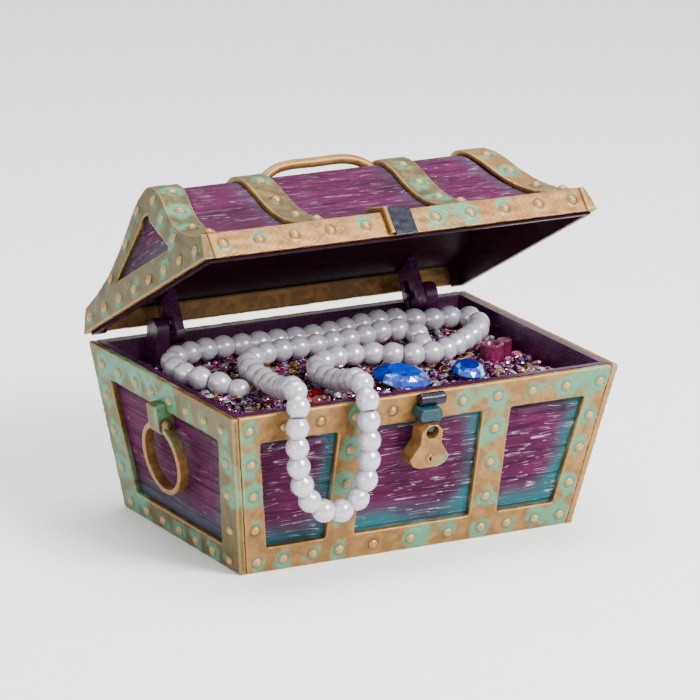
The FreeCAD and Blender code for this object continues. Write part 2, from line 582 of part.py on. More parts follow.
def ring_handle(side):
    """A flat hoop, open at the top, whose two stubs turn in the lug."""
    depth = (RING_N0 + RING_N1) / 2
    centre = side.at(0, RING_V, RING_N0)
    hoop = ring_solid(RING_R, RING_R - RING_T, RING_N1 - RING_N0, centre, side.normal)
    gap = LUG_HALF + 0.35
    hoop = hoop.cut(side.prism(rect(-gap, gap, 10, RING_V - 5), -3, 6))
    stubs = []
    for s in (1, -1):
        start = side.at(s * 0.3, RING_PIN_V, depth)
        stubs.append(Part.makeCylinder(RING_PIN_R, LUG_HALF + 2.4, start, side.right * s))
        eye = side.at(s * gap, RING_PIN_V, depth)
        stubs.append(Part.makeCylinder(1.7, 1.5, eye, side.right * s))
    return hoop.fuse(stubs)


# ---- gems ----

def cut_stone(radius, height, sides, girdle=0.45, table=0.58, pavilion=0.5, stretch=1.0):
    """A faceted stone: a small foot, a wide girdle and a flat table."""
    rings = []
    for share, z, turn in ((pavilion, 0, 0), (1.0, girdle, 0), (1.0, girdle + 0.08, 0), (table, 1.0, 0)):
        ring = []
        for i in range(sides):
            a = 2 * math.pi * (i + turn) / sides
            ring.append(Vector(stretch * radius * share * math.cos(a), radius * share * math.sin(a), z * height))
        rings.append(ring)
    faces = [rings[0][::-1], rings[-1]]
    for low, high in zip(rings, rings[1:]):
        for i in range(sides):
            j = (i + 1) % sides
            faces.append([low[i], low[j], high[j], high[i]])
    return solid_of(faces)


def set_stone(stone, x, y, z, lean=0.0, turn=0.0):
    stone = stone.copy()
    stone.Placement = Placement(Vector(x, y, z), Rotation(Vector(1, 0, 0), lean) * Rotation(Vector(0, 0, 1), turn))
    return stone


def rhinestones():
    """The loose small stones, laid out in offset rows on the tray, in four colours."""
    keep_off = [(NOZZLE_X, NOZZLE_Y, NOZZLE_R + 2.3), (BOSS_X, BOSS_Y, BOSS_R + 2.3),
                (THREAD[0][0], THREAD[0][1], 6.5), (THREAD[-1][0], THREAD[-1][1], 6.5)]
    colours = [[], [], [], []]
    row_step = SMALL_PITCH * math.cos(math.radians(30))
    rows = int(74 / row_step)
    for r in range(rows):
        y = -37 + r * row_step
        for c in range(-9, 10):
            x = (c + 0.5 * (r % 2)) * SMALL_PITCH
            post = abs(abs(x) - POST_X - POST_W / 2) < POST_W / 2 + 2.6 and abs(y - POST_Y) < 7
            near = any(math.hypot(x - kx, y - ky) < kr for kx, ky, kr in keep_off)
            if abs(x) < 62 and y < 36 and not post and not near:
                stone = cut_stone(SMALL_R, SMALL_H, 8)
                pick_one = (3 * r + 5 * c) % 4
                colours[pick_one].append(set_stone(stone, x, y, TRAY_TOP, 0, 37 * c + 11 * r))
    return [Part.makeCompound(c) for c in colours]


# ---- pearls ----

def tube_path(points, share):
    """Straight runs joined by tangent arcs, each arc as large as its two runs allow."""
    points = [Vector(*p) for p in points]
    edges, radii = [], []
    start = points[0]
    for before, corner, after in zip(points, points[1:], points[2:]):
        into, out = (corner - before), (after - corner)
        turn = into.getAngle(out)
        cut = share * min(into.Length, out.Length)
        radii.append(cut / math.tan(turn / 2))
        a = corner - Vector(into).normalize() * cut
        b = corner + Vector(out).normalize() * cut
        bisector = (Vector(out).normalize() - Vector(into).normalize()).normalize()
        centre = corner + bisector * math.hypot(radii[-1], cut)
        middle = centre - bisector * radii[-1]
        edges.append(Part.LineSegment(start, a).toShape())
        edges.append(Part.Arc(a, middle, b).toShape())
        start = b
    edges.append(Part.LineSegment(start, points[-1]).toShape())
    return Part.Wire(edges), radii


def places_on(path, pitch):
    """Points along a path, each the same straight distance from the one before."""
    fine = path.discretize(Distance=0.05)
    places = [fine[0]]
    for p in fine:
        if (p - places[-1]).Length >= pitch:
            places.append(p)
    return places


def pearl_thread(path):
    start = Vector(*THREAD[0])
    direction = Vector(*THREAD[1]) - start
    section = Part.Wire(Part.makeCircle(THREAD_R, start, direction))
    return path.makePipeShell([section], True, False)


def pearl_beads(path):
    return Part.makeCompound([Part.makeSphere(PEARL_R, p) for p in places_on(path, PEARL_PITCH)])


def build():
    ends, fronts = band_skin()
    nodes = {
        "front_frame": long_frame(pick(fronts, Vector(0, -1, 0)), FRONT),
        "rear_frame": long_frame(pick(fronts, Vector(0, 1, 0)), REAR),
        "left_frame": end_frame(pick(ends, Vector(-1, 0, 0)), LEFT),
        "right_frame": end_frame(pick(ends, Vector(1, 0, 0)), RIGHT),
        "inner_tub": inner_tub(),
        "bottom_plate": frustum(BAND_T + TUB_T, BAND_T + TUB_T, 0, PLATE_H),
        "ballast_weight": block(-52, 40, -30, 30, PLATE_H, PLATE_H + 5.0),
        "gem_tray": tray(),
        "air_nozzle": air_nozzle(),
        "air_pipe": air_pipe(),
        "air_inlet": air_inlet(),
        "tray_boss": Part.makeCylinder(BOSS_R, BOSS_TOP - TRAY_TOP, Vector(BOSS_X, BOSS_Y, TRAY_TOP)),
    }
    for side, sign in (("left", -1), ("right", 1)):
        face = LEFT if sign < 0 else RIGHT
        nodes[side + "_hinge_post"] = hinge_post(sign)
        nodes[side + "_hinge_pin"] = hinge_pin(sign)
        nodes[side + "_ring_lug"] = ring_lug(face, nodes[side + "_frame"], nodes["inner_tub"])
        nodes[side + "_ring"] = ring_handle(face)
        nodes["lid_" + side + "_frame"] = tip(lid_end_frame(sign))
        nodes["lid_" + side + "_strap"] = tip(lid_strap(*sorted((sign * STRAP_IN, sign * STRAP_OUT))))
        nodes[side + "_hinge_arm"] = tip(hinge_arm(sign))
    nodes["lid_shell"] = tip(lid_shell())
    nodes["lid_front_band"] = tip(lid_band(True))
    nodes["lid_rear_band"] = tip(lid_band(False))
    nodes["lid_hasp"] = tip(hasp().cut(lid_band(True)))
    nodes["hasp_edge"] = tip(hasp_edge().cut(lid_band(True)))
    nodes["top_handle"] = tip(top_handle())
    nodes["air_inlet"] = nodes["air_inlet"].cut(nodes["rear_frame"]).cut(nodes["inner_tub"])
    nodes["catch_barrel"] = catch_barrel(nodes["front_frame"])
    nodes["padlock_staple"] = padlock_staple(nodes["front_frame"], nodes["catch_barrel"])
    nodes["padlock"] = padlock()

    nodes["blue_oval_gem"] = set_stone(cut_stone(OVAL_R, OVAL_H, 12, stretch=OVAL_STRETCH), *OVAL_PLACE, 20, -24)
    nodes["blue_round_gem"] = set_stone(cut_stone(ROUND_R, ROUND_H, 10), *ROUND_PLACE, 14)
    nodes["red_gem"] = set_stone(cut_stone(RED_R, RED_H, 8), *RED_PLACE, 8, 20)
    stones = zip(("magenta", "violet", "gold", "clear"), rhinestones())
    nodes.update({colour + "_rhinestones": group for colour, group in stones})

    path, radii = tube_path(THREAD, RUN_SHARE)
    nodes["pearl_thread"] = pearl_thread(path)
    nodes["pearl_beads"] = pearl_beads(path)
    print("thread length", round(path.Length, 1), "smallest radii", [round(r, 1) for r in sorted(radii)[:5]])
    print("thread volume", round(nodes["pearl_thread"].Volume, 2),
          "section times length", round(math.pi * THREAD_R ** 2 * path.Length, 2))
    for name, shape in sorted(nodes.items()):
        print(name, len(shape.Solids), "solids", round(shape.Volume), "mm3", "ok" if shape.isValid() else "BAD")
        shape.exportStep(os.path.join("parts", name + ".step"))


build()
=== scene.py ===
import json
import math
import random

import bpy
import numpy as np
from mathutils import Matrix, Vector
from mathutils.bvhtree import BVHTree
from mathutils.kdtree import KDTree


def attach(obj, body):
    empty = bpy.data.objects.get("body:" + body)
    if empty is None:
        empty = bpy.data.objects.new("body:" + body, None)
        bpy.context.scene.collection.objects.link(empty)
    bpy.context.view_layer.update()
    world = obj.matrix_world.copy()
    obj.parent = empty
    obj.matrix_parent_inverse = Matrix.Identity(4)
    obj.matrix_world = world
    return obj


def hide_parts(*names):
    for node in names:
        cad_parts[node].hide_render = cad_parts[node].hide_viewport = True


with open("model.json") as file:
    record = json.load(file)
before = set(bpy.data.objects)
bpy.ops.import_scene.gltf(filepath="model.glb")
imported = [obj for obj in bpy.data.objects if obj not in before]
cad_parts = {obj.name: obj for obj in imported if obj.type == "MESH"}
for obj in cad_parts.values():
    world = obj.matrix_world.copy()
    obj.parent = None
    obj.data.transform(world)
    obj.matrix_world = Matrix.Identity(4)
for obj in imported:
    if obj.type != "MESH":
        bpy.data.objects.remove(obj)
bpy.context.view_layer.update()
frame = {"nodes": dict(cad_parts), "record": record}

MM = 0.001
BODY_OF = {n: b for b, ns in frame["record"]["behaviour"]["bodies"].items() for n in ns}
SLOT_OF = {s["node"]: s["material_slot"] for s in frame["record"]["subparts"]}


# ---- camera: the photograph's view, a long lens a little above the chest and to its left ----

VIEW_AZIMUTH, VIEW_ELEVATION, VIEW_ROLL = math.radians(-30.886), math.radians(16.543), math.radians(1.745)
VIEW_TARGET, VIEW_DISTANCE = Vector((-1.197, 0.0, 57.933)) * MM, 1780.57 * MM
SENSOR_MM, LENS_MM, CLIP_END = 36.0, 274.42, 20.0


def make_camera():
    flat = math.cos(VIEW_ELEVATION)
    back = Vector((math.sin(VIEW_AZIMUTH) * flat, -math.cos(VIEW_AZIMUTH) * flat, math.sin(VIEW_ELEVATION)))
    right = (-back).cross(Vector((0, 0, 1))).normalized()
    up = back.cross(right)
    turned_right = math.cos(VIEW_ROLL) * right + math.sin(VIEW_ROLL) * up
    turned_up = math.cos(VIEW_ROLL) * up - math.sin(VIEW_ROLL) * right
    data = bpy.data.cameras.new("camera")
    data.sensor_width = SENSOR_MM
    data.lens = LENS_MM
    data.clip_end = CLIP_END
    camera = bpy.data.objects.new("camera", data)
    axes = Matrix((turned_right, turned_up, back)).transposed()
    camera.matrix_world = Matrix.Translation(VIEW_TARGET + back * VIEW_DISTANCE) @ axes.to_4x4()
    bpy.context.scene.collection.objects.link(camera)
    bpy.context.scene.camera = camera


make_camera()


# ---- pearl strand: the route is the one that the CAD thread follows, in metres ----

THREAD_MM = (
    (-47.5, -7, 51.7), (-54.5, -3.5, 54.8), (-60, 5.5, 55), (-60, 16, 55), (-55, 25.5, 55), (-46, 28.6, 55),
    (-36, 30, 55), (-26, 28.8, 55), (-15.5, 29.2, 55), (-5, 28.4, 55), (6, 28.6, 55), (16.5, 30, 55.5),
    (27, 31.2, 56.2), (37, 30.4, 56), (46.5, 27.4, 55.2), (55, 28.4, 55.2), (62, 24.6, 55.3), (59.8, 14.9, 55),
    (51.5, 7.4, 55), (42, 0.2, 55), (32.5, -5, 55), (23, -6.2, 55), (14.5, -1.5, 55), (6.5, 3.8, 55),
    (-3.5, 3.8, 55), (-13, 0, 55), (-19.4, -8.5, 55.2), (-20.4, -19, 56), (-21.6, -29, 57.4),
    (-23.4, -38, 60.8), (-25.2, -46.5, 63.9), (-26.8, -54.6, 61.8), (-26.3, -55.2, 52.5), (-25.3, -54.6, 42.5),
    (-25.3, -54, 32), (-29.2, -53.2, 23.4), (-37.5, -52.8, 21.2), (-45.8, -53, 25.4), (-50.6, -53.8, 34.5),
    (-52.4, -54.6, 44), (-53, -55.2, 53.5), (-52.4, -54.6, 62), (-49.5, -46.5, 64), (-46.4, -38, 61),
    (-43.5, -28.5, 57.8), (-41.6, -18.5, 56.2), (-39.4, -8, 55.4), (-38.6, 2.5, 55), (-33.8, 11.5, 55),
    (-25, 17.2, 55), (-14.5, 18.4, 55), (-4, 17.8, 55.2), (6.5, 19.4, 55), (17, 20.2, 55.3), (27, 22.2, 55.8),
    (34.6, 19.8, 55.2), (35.8, 12.2, 53.8), (30.2, 7.4, 51.7),
)
THREAD_LENGTH, THREAD_DIAMETER = 0.5538, 1.0 * MM
PEARL_R, PEARL_PITCH, PEARL_NECK = 3.9 * MM, 6.75 * MM, 2.3 * MM


def adopt(obj, node):
    """The piece stands for a CAD node: it rides that node's body, and the node itself is hidden."""
    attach(obj, BODY_OF[node])
    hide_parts(node)
    return obj


def new_object(name, mesh):
    obj = bpy.data.objects.new(name, mesh)
    bpy.context.scene.collection.objects.link(obj)
    return obj


def make_thread():
    curve = bpy.data.curves.new("pearl_thread_line", "CURVE")
    curve.dimensions = "3D"
    spline = curve.splines.new("NURBS")
    spline.points.add(len(THREAD_MM) - 1)
    for point, place in zip(spline.points, THREAD_MM):
        point.co = (place[0] * MM, place[1] * MM, place[2] * MM, 1.0)
        point.radius = THREAD_DIAMETER / 2
    spline.order_u = 3
    spline.use_endpoint_u = True
    curve.resolution_u = 16
    thread = new_object("pearl_thread_line", curve)
    bare = bpy.data.meshes.new_from_object(thread)
    line = [v.co.copy() for v in bare.vertices]
    curve.bevel_depth = 1.0      # times each point's radius
    curve.use_fill_caps = True
    return adopt(thread, "pearl_thread"), line


def places_along(line, pitch):
    """Points on a line, each the same straight distance from the last, with the line's direction there."""
    fine = []
    for a, b in zip(line, line[1:]):
        steps = max(1, int((b - a).length / (0.1 * MM)))
        fine += [a.lerp(b, i / steps) for i in range(steps)]
    places = [fine[0]]
    for p in fine:
        if (p - places[-1]).length >= pitch:
            places.append(p)
    around = [places[0] * 2 - places[1]] + places + [places[-1] * 2 - places[-2]]
    return [(p, (around[i + 2] - around[i]).normalized()) for i, p in enumerate(places)]


def mesh_from(name, verts, faces, smooth=True):
    mesh = bpy.data.meshes.new(name)
    mesh.from_pydata([tuple(v) for v in verts], [], faces)
    mesh.update()
    mesh.polygons.foreach_set("use_smooth", [smooth] * len(mesh.polygons))
    return mesh


def set_float(mesh, name, values, domain="POINT"):
    attribute = mesh.attributes.new(name, "FLOAT", domain)
    attribute.data.foreach_set("value", np.asarray(values, np.float32))


def set_vector(mesh, name, values):
    attribute = mesh.attributes.new(name, "FLOAT_VECTOR", "POINT")
    attribute.data.foreach_set("vector", np.asarray(values, np.float32).ravel())


def make_pearls(line):
    """Moulded pearls: each a ball cut flat where it meets the next, with a small collar round the thread."""
    draw = random.Random(7)
    around, along = 28, 18
    verts, faces, tones = [], [], []
    for place, heading in places_along(line, PEARL_PITCH):
        turn = heading.to_track_quat("Z", "Y").to_matrix()
        size = PEARL_R * draw.uniform(0.985, 1.0)
        tone = draw.uniform(0.0, 1.0)
        start = len(verts)
        for j in range(along + 1):
            z = -size * math.cos(math.pi * (0.16 + 0.68 * j / along))
            ring = (math.sqrt(size ** 2 - z ** 2) ** 6 + PEARL_NECK ** 6) ** (1 / 6)
            for i in range(around):
                a = 2 * math.pi * i / around
                verts.append(place + turn @ Vector((ring * math.cos(a), ring * math.sin(a), z)))
                tones.append(tone)
        for j in range(along):
            for i in range(around):
                k = (i + 1) % around
                row = start + j * around
                faces.append((row + i, row + k, row + around + k, row + around + i))
        faces.append(tuple(start + i for i in range(around))[::-1])
        faces.append(tuple(start + along * around + i for i in range(around)))
    mesh = mesh_from("pearls", verts, faces)
    set_float(mesh, "tone", tones)
    return adopt(new_object("pearls", mesh), "pearl_beads")


thread, thread_line = make_thread()
pearls = make_pearls(thread_line)


# ---- shader building ----

class Paint:
    """A node material: each call adds one node and gives back its first output."""

    def __init__(self, name, **sockets):
        self.material = bpy.data.materials.new(name)
        self.material.use_nodes = True
        self.tree = self.material.node_tree
        self.shader = next(n for n in self.tree.nodes if n.type == "BSDF_PRINCIPLED")
        for socket, value in sockets.items():
            self.set(socket.replace("_", " "), value)

    def set(self, socket, value):
        target = self.shader.inputs[socket]
        if isinstance(value, bpy.types.NodeSocket):
            self.tree.links.new(value, target)
        elif isinstance(value, tuple):
            target.default_value = (*value, 1.0)
        else:
            target.default_value = value

    def add(self, kind, inputs=(), **settings):
        node = self.tree.nodes.new(kind)
        for key, value in settings.items():
            setattr(node, key, value)
        for key, value in dict(inputs).items():
            if isinstance(value, bpy.types.NodeSocket):
                self.tree.links.new(value, node.inputs[key])
            elif isinstance(value, tuple) and len(node.inputs[key].default_value) == 4:
                node.inputs[key].default_value = (*value, 1.0)
            else:
                node.inputs[key].default_value = value
        return node

    def place(self):
        return self.add("ShaderNodeTexCoord").outputs["Object"]

    def stretched(self, vector, scale):
        return self.add("ShaderNodeMapping", {"Vector": vector, "Scale": scale}).outputs[0]

    def noise(self, vector, scale, detail=4.0, rough=0.55, twist=0.0):
        inputs = {"Vector": vector, "Scale": scale, "Detail": detail, "Roughness": rough, "Distortion": twist}
        return self.add("ShaderNodeTexNoise", inputs).outputs["Fac"]

    def cells(self, vector, scale):
        return self.add("ShaderNodeTexVoronoi", {"Vector": vector, "Scale": scale}).outputs["Color"]

    def value(self, name):
        return self.add("ShaderNodeAttribute", attribute_name=name).outputs["Fac"]

    def vector(self, name):
        return self.add("ShaderNodeAttribute", attribute_name=name).outputs["Vector"]

    def span(self, value, low, high, to_low=0.0, to_high=1.0):
        inputs = {"Value": value, "From Min": low, "From Max": high, "To Min": to_low, "To Max": to_high}
        return self.add("ShaderNodeMapRange", inputs, interpolation_type="SMOOTHSTEP").outputs[0]

    def math(self, operation, a, b=0.0, clamp=False):
        return self.add("ShaderNodeMath", {0: a, 1: b}, operation=operation, use_clamp=clamp).outputs[0]

    def mix(self, share, a, b):
        node = self.add("ShaderNodeMix", data_type="RGBA")
        for index, value in ((0, share), (6, a), (7, b)):
            if isinstance(value, bpy.types.NodeSocket):
                self.tree.links.new(value, node.inputs[index])
            elif index == 0:
                node.inputs[index].default_value = value
            else:
                node.inputs[index].default_value = (*value, 1.0)
        return node.outputs[2]

    def bump(self, height, strength, distance):
        inputs = {"Height": height, "Strength": strength, "Distance": distance}
        return self.add("ShaderNodeBump", inputs).outputs["Normal"]


# ---- casting: dense rounded meshes made from the CAD solids ----

WELD = 0.001 * MM


def welded(node):
    """A CAD node's corners and triangles, with shared corners merged."""
    mesh = frame["nodes"][node].data
    co = np.empty(len(mesh.vertices) * 3)
    mesh.vertices.foreach_get("co", co)
    co = co.reshape(-1, 3)
    mesh.calc_loop_triangles()
    tri = np.empty(len(mesh.loop_triangles) * 3, int)
    mesh.loop_triangles.foreach_get("vertices", tri)
    cell = np.round(co / WELD).astype(np.int64)
    _, first, back = np.unique(cell, axis=0, return_index=True, return_inverse=True)
    tri = back.ravel()[tri].reshape(-1, 3)
    keep = (tri[:, 0] != tri[:, 1]) & (tri[:, 1] != tri[:, 2]) & (tri[:, 0] != tri[:, 2])
    return co[first], tri[keep]


HEAD_EDGE, HEAD_SPREAD, HEAD_CORNERS = 1.3 * MM, 3.4 * MM, 6      # how a rivet head is known in the CAD mesh


def rivet_places(node):
    """Rivet heads on a CAD band: the corners whose edges are all short, gathered in one group for each head."""
    co, tri = welded(node)
    longest = np.zeros(len(co))
    for a, b in ((0, 1), (1, 2), (2, 0)):
        length = np.linalg.norm(co[tri[:, a]] - co[tri[:, b]], axis=1)
        for side in (a, b):
            np.maximum.at(longest, tri[:, side], length)
    small = co[longest < HEAD_EDGE]
    groups = []
    for p in small:
        near = [g for g in groups if np.linalg.norm(g[0] - p) < HEAD_SPREAD]
        if near:
            near[0].append(p)
        else:
            groups.append([p])
    return [np.array(g) for g in groups if len(g) >= HEAD_CORNERS]


def neighbour_mean(values, edges, count):
    """Each corner's mean over the corners it shares an edge with."""
    total = np.zeros_like(values)
    for axis in range(values.shape[1]):
        total[:, axis] = (np.bincount(edges[:, 0], values[edges[:, 1], axis], len(values))
                          + np.bincount(edges[:, 1], values[edges[:, 0], axis], len(values)))
    return total / count[:, None]


RIVET_R, RIVET_H = 1.6 * MM, 1.0 * MM


def rivet_head(points, out):
    """A dome whose crown is where the CAD head's is."""
    middle = points.mean(0)
    crown = Vector(middle + out * ((points @ out).max() - middle @ out))
    ball = (RIVET_R ** 2 + RIVET_H ** 2) / (2 * RIVET_H)
    widest = math.acos((ball - RIVET_H) / ball) * 1.25
    turn = Vector(out).to_track_quat("Z", "Y").to_matrix()
    around, down = 20, 7
    verts, faces = [crown], []
    for j in range(1, down + 1):
        a = widest * j / down
        for i in range(around):
            b = 2 * math.pi * i / around
            side = ball * math.sin(a)
            step = Vector((side * math.cos(b), side * math.sin(b), ball * math.cos(a) - ball))
            verts.append(crown + turn @ step)
    for i in range(around):
        k = (i + 1) % around
        faces.append((0, 1 + i, 1 + k))
        for j in range(down - 1):
            row = 1 + j * around
            faces.append((row + i, row + around + i, row + around + k, row + k))
    faces.append(tuple(1 + (down - 1) * around + i for i in range(around))[::-1])
    return verts, faces


SOFTEN_STEPS, WIDE_STEPS, HOLLOW_UNIT = 3, 8, 0.15 * MM


def remeshed(name, node, voxel):
    """A CAD node's solid in even small cells."""
    mesh = frame["nodes"][node].data.copy()
    mesh.materials.clear()
    source = new_object(name + "_source", mesh)
    remesh = source.modifiers.new("remesh", "REMESH")
    remesh.mode = "VOXEL"
    remesh.voxel_size = voxel * 1.0 * MM
    remesh.use_smooth_shade = True
    depsgraph = bpy.context.evaluated_depsgraph_get()
    mesh = bpy.data.meshes.new_from_object(source.evaluated_get(depsgraph))
    bpy.data.objects.remove(source)
    return mesh


def cast(name, node, voxel, uneven, rivets=()):
    """A CAD node's solid as a rounded casting. Its points know how hollow and how near a rivet they are."""
    mesh = remeshed(name, node, voxel)
    count = len(mesh.vertices)
    co = np.empty(count * 3)
    mesh.vertices.foreach_get("co", co)
    co = co.reshape(-1, 3)
    edges = np.empty(len(mesh.edges) * 2, int)
    mesh.edges.foreach_get("vertices", edges)
    edges = edges.reshape(-1, 2)
    valence = np.maximum(np.bincount(edges.ravel(), minlength=count), 1)
    for _ in range(SOFTEN_STEPS):
        co = 0.5 * co + 0.5 * neighbour_mean(co, edges, valence)
    mesh.vertices.foreach_set("co", co.ravel())
    mesh.update()
    normal = np.empty(count * 3)
    mesh.vertices.foreach_get("normal", normal)
    normal = normal.reshape(-1, 3)
    wide = co
    for _ in range(WIDE_STEPS):
        wide = neighbour_mean(wide, edges, valence)
    hollow = ((wide - co) * normal).sum(1) / HOLLOW_UNIT
    co = co + normal * uneven(co)[:, None]
    mesh.vertices.foreach_set("co", co.ravel())
    mesh.update()
    ring, head, seat = np.zeros(count), np.zeros(count), np.zeros(count)
    if rivets:
        tree = KDTree(len(rivets))
        for i, points in enumerate(rivets):
            tree.insert(points.mean(0), i)
        tree.balance()
        distance = np.array([tree.find(Vector(p))[2] for p in co])
        ring = np.clip(1.0 - (distance - 1.8 * MM) / (3.6 * MM), 0.0, 1.0)
        head = np.clip(1.0 - (distance - 1.25 * MM) / (0.35 * MM), 0.0, 1.0)
        # a narrow ring round each rivet head, where painted shade under the head goes
        seat = np.exp(-((distance - 1.85 * MM) / (0.32 * MM)) ** 2)
    heads = []
    for points in rivets:
        near = np.linalg.norm(co - points.mean(0), axis=1) < 2.6 * MM
        out = normal[near].sum(0)
        heads.append(rivet_head(points, out / np.linalg.norm(out)))
    head_verts = [v for verts, _ in heads for v in verts]
    extra = len(head_verts)
    if heads:
        faces = [tuple(f.vertices) for f in mesh.polygons]
        start = count
        for verts, head_faces in heads:
            faces += [tuple(start + i for i in f) for f in head_faces]
            start += len(verts)
        mesh = mesh_from(name, [tuple(v) for v in co] + head_verts, faces)
    set_float(mesh, "hollow", np.concatenate([np.clip(hollow, -1.5, 1.5), np.zeros(extra)]))
    set_float(mesh, "head", np.concatenate([head, np.ones(extra)]))
    set_float(mesh, "ring", np.concatenate([ring, np.ones(extra)]))
    set_float(mesh, "seat", np.concatenate([seat, np.zeros(extra)]))
    mesh.polygons.foreach_set("use_smooth", [True] * len(mesh.polygons))
    return adopt(new_object(name, mesh), node)


def waves(co, size, seed):
    """Soft unevenness: a few sine waves in fixed random directions, about -1 to 1."""
    draw = np.random.default_rng(seed)
    total = np.zeros(len(co))
    for _ in range(7):
        direction = draw.normal(size=3)
        direction *= 2 * math.pi / (size * MM * draw.uniform(0.6, 1.7)) / np.linalg.norm(direction)
        total += np.sin(co @ direction + draw.uniform(0, 2 * math.pi))
    return total / 4.0


# ---- materials ----

# GOLD_LIGHT also lightens raised edges, partly as rubbed wear and partly as painted highlight
GOLD_LIGHT, GOLD = (0.42, 0.225, 0.065), (0.25, 0.125, 0.034)
# GOLD_SHADE colours the random brown wash and, with the dark mint below, the painted shade in hollows and round rivet
# heads
GOLD_DEEP, GOLD_SHADE = (0.15, 0.078, 0.018), (0.026, 0.014, 0.005)
MINT, MINT_PALE, MINT_SHADE = (0.025, 0.17, 0.095), (0.07, 0.24, 0.13), (0.008, 0.06, 0.045)
OLIVE = (0.035, 0.060, 0.016)
PLUM, PLUM_LIT = (0.040, 0.0025, 0.022), (0.072, 0.004, 0.040)
PLUM_DARK, PLUM_RED = (0.011, 0.001, 0.006), (0.10, 0.006, 0.03)
TEAL_BRUSH, GRAIN_PALE, JOINT_DARK = (0.008, 0.085, 0.095), (0.42, 0.32, 0.42), (0.012, 0.003, 0.010)
TUB_PLUM, TUB_DARK = (0.060, 0.007, 0.050), (0.022, 0.003, 0.020)


def weathered_gold(name, mint=0.5, deep=0.35, olive=0.0):
    """Brass-coloured paint with a random brown wash and mint verdigris round its rivets. Its hollows and a ring round
    each rivet head are darkened with painted shade, and its raised edges are lightened, partly as rubbed wear and
    partly as painted highlight.
    """
    paint = Paint(name, IOR=1.5)
    place = paint.place()
    broad = paint.noise(place, 48.0, 3.0)
    mottled = paint.noise(place, 230.0, 5.0, 0.62)
    fine = paint.noise(place, 1400.0, 3.0, 0.6)
    hollow = paint.value("hollow")
    ring = paint.value("ring")
    colour = paint.mix(paint.span(broad, 0.42, 0.70, 0.0, 0.6), GOLD, GOLD_DEEP)
    colour = paint.mix(paint.span(mottled, 0.45, 0.75, 0.0, 0.4), colour, GOLD_LIGHT)
    wash = paint.math("MULTIPLY", paint.span(mottled, 0.58, 0.40), deep, True)
    colour = paint.mix(wash, colour, GOLD_SHADE)
    colour = paint.mix(olive, colour, OLIVE)
    patch = paint.math("ADD", paint.math("MULTIPLY", ring, 0.30), paint.math("MULTIPLY", mottled, 0.45))
    patch = paint.math("ADD", patch, paint.math("MULTIPLY", broad, 1.7))
    green = paint.span(patch, 1.34 - 0.35 * mint, 1.62 - 0.35 * mint, 0.0, 0.9)
    colour = paint.mix(green, colour, paint.mix(paint.span(fine, 0.35, 0.65), MINT, MINT_PALE))
    # painted shade colour: dark gold, or dark mint where the paint is green
    shade = paint.mix(green, GOLD_SHADE, MINT_SHADE)
    # a dark ring round each rivet head: painted shade under the head
    colour = paint.mix(paint.math("MULTIPLY", paint.value("seat"), 0.55), colour, shade)
    colour = paint.mix(paint.value("head"), colour, paint.mix(paint.span(fine, 0.4, 0.7), GOLD_LIGHT, GOLD))
    # raised edges lightened: partly rubbed wear, partly painted highlight
    colour = paint.mix(paint.span(hollow, -0.5, -1.4, 0.0, 0.45), colour, GOLD_LIGHT)
    # hollows darkened: painted shade
    colour = paint.mix(paint.span(hollow, 0.2, 0.9, 0.0, 0.8), colour, shade)
    paint.set("Base Color", colour)
    paint.set("Metallic", paint.math("SUBTRACT", 0.6, paint.math("MULTIPLY", green, 0.55)))
    paint.set("Roughness", paint.span(mottled, 0.3, 0.7, 0.32, 0.52))
    paint.set("Normal", paint.bump(paint.math("ADD", mottled, paint.math("MULTIPLY", fine, 0.6)), 0.3, 0.25 * MM))
    return paint.material


def plank_paint(name, edge_teal=0.8, pale=0.5):
    """Plum planks with pale cracks in the grain and blue-green airbrushed to the right and the foot."""
    paint = Paint(name, IOR=1.42, Specular_IOR_Level=0.12)
    flat = paint.vector("flat")
    edge = paint.value("edge")
    groove = paint.value("groove")
    ridge = paint.value("ridge")
    hairs = paint.noise(paint.stretched(flat, (90.0, 2600.0, 1.0)), 1.0, 4.0, 0.65, 0.6)
    streaks = paint.noise(paint.stretched(flat, (26.0, 520.0, 1.0)), 1.0, 4.0, 0.6, 0.8)
    cloud = paint.noise(paint.stretched(flat, (30.0, 60.0, 1.0)), 1.0, 3.0)
    colour = paint.mix(paint.span(cloud, 0.34, 0.66), PLUM, PLUM_LIT)
    colour = paint.mix(paint.span(streaks, 0.50, 0.36, 0.0, 0.7), colour, PLUM_DARK)
    airbrush = paint.math("MULTIPLY", edge, paint.span(cloud, 0.25, 0.75, 0.55, 1.3))
    colour = paint.mix(paint.span(airbrush, 0.1, 0.9, 0.0, edge_teal), colour, TEAL_BRUSH)
    crack = paint.noise(paint.stretched(flat, (42.0, 800.0, 1.0)), 1.0, 1.0, 0.5, 0.35)
    crack = paint.math("ABSOLUTE", paint.math("SUBTRACT", crack, 0.5))
    broken = paint.noise(paint.stretched(flat, (170.0, 300.0, 1.0)), 1.0, 3.0)
    line = paint.math("MULTIPLY", paint.span(crack, 0.018, 0.005), paint.span(broken, 0.44, 0.60), True)
    haze = paint.math("MULTIPLY", paint.span(ridge, 0.55, 0.95), paint.span(hairs, 0.5, 0.66, 0.0, 0.16), True)
    brushed = paint.math("MAXIMUM", line, haze)
    colour = paint.mix(paint.math("MULTIPLY", brushed, pale, True), colour, GRAIN_PALE)
    colour = paint.mix(paint.math("MULTIPLY", groove, 0.55, True), colour, JOINT_DARK)
    paint.set("Base Color", colour)
    paint.set("Roughness", paint.span(hairs, 0.3, 0.7, 0.42, 0.62))
    paint.set("Normal", paint.bump(paint.math("ADD", streaks, paint.math("MULTIPLY", hairs, 0.7)), 0.45, 0.3 * MM))
    return paint.material


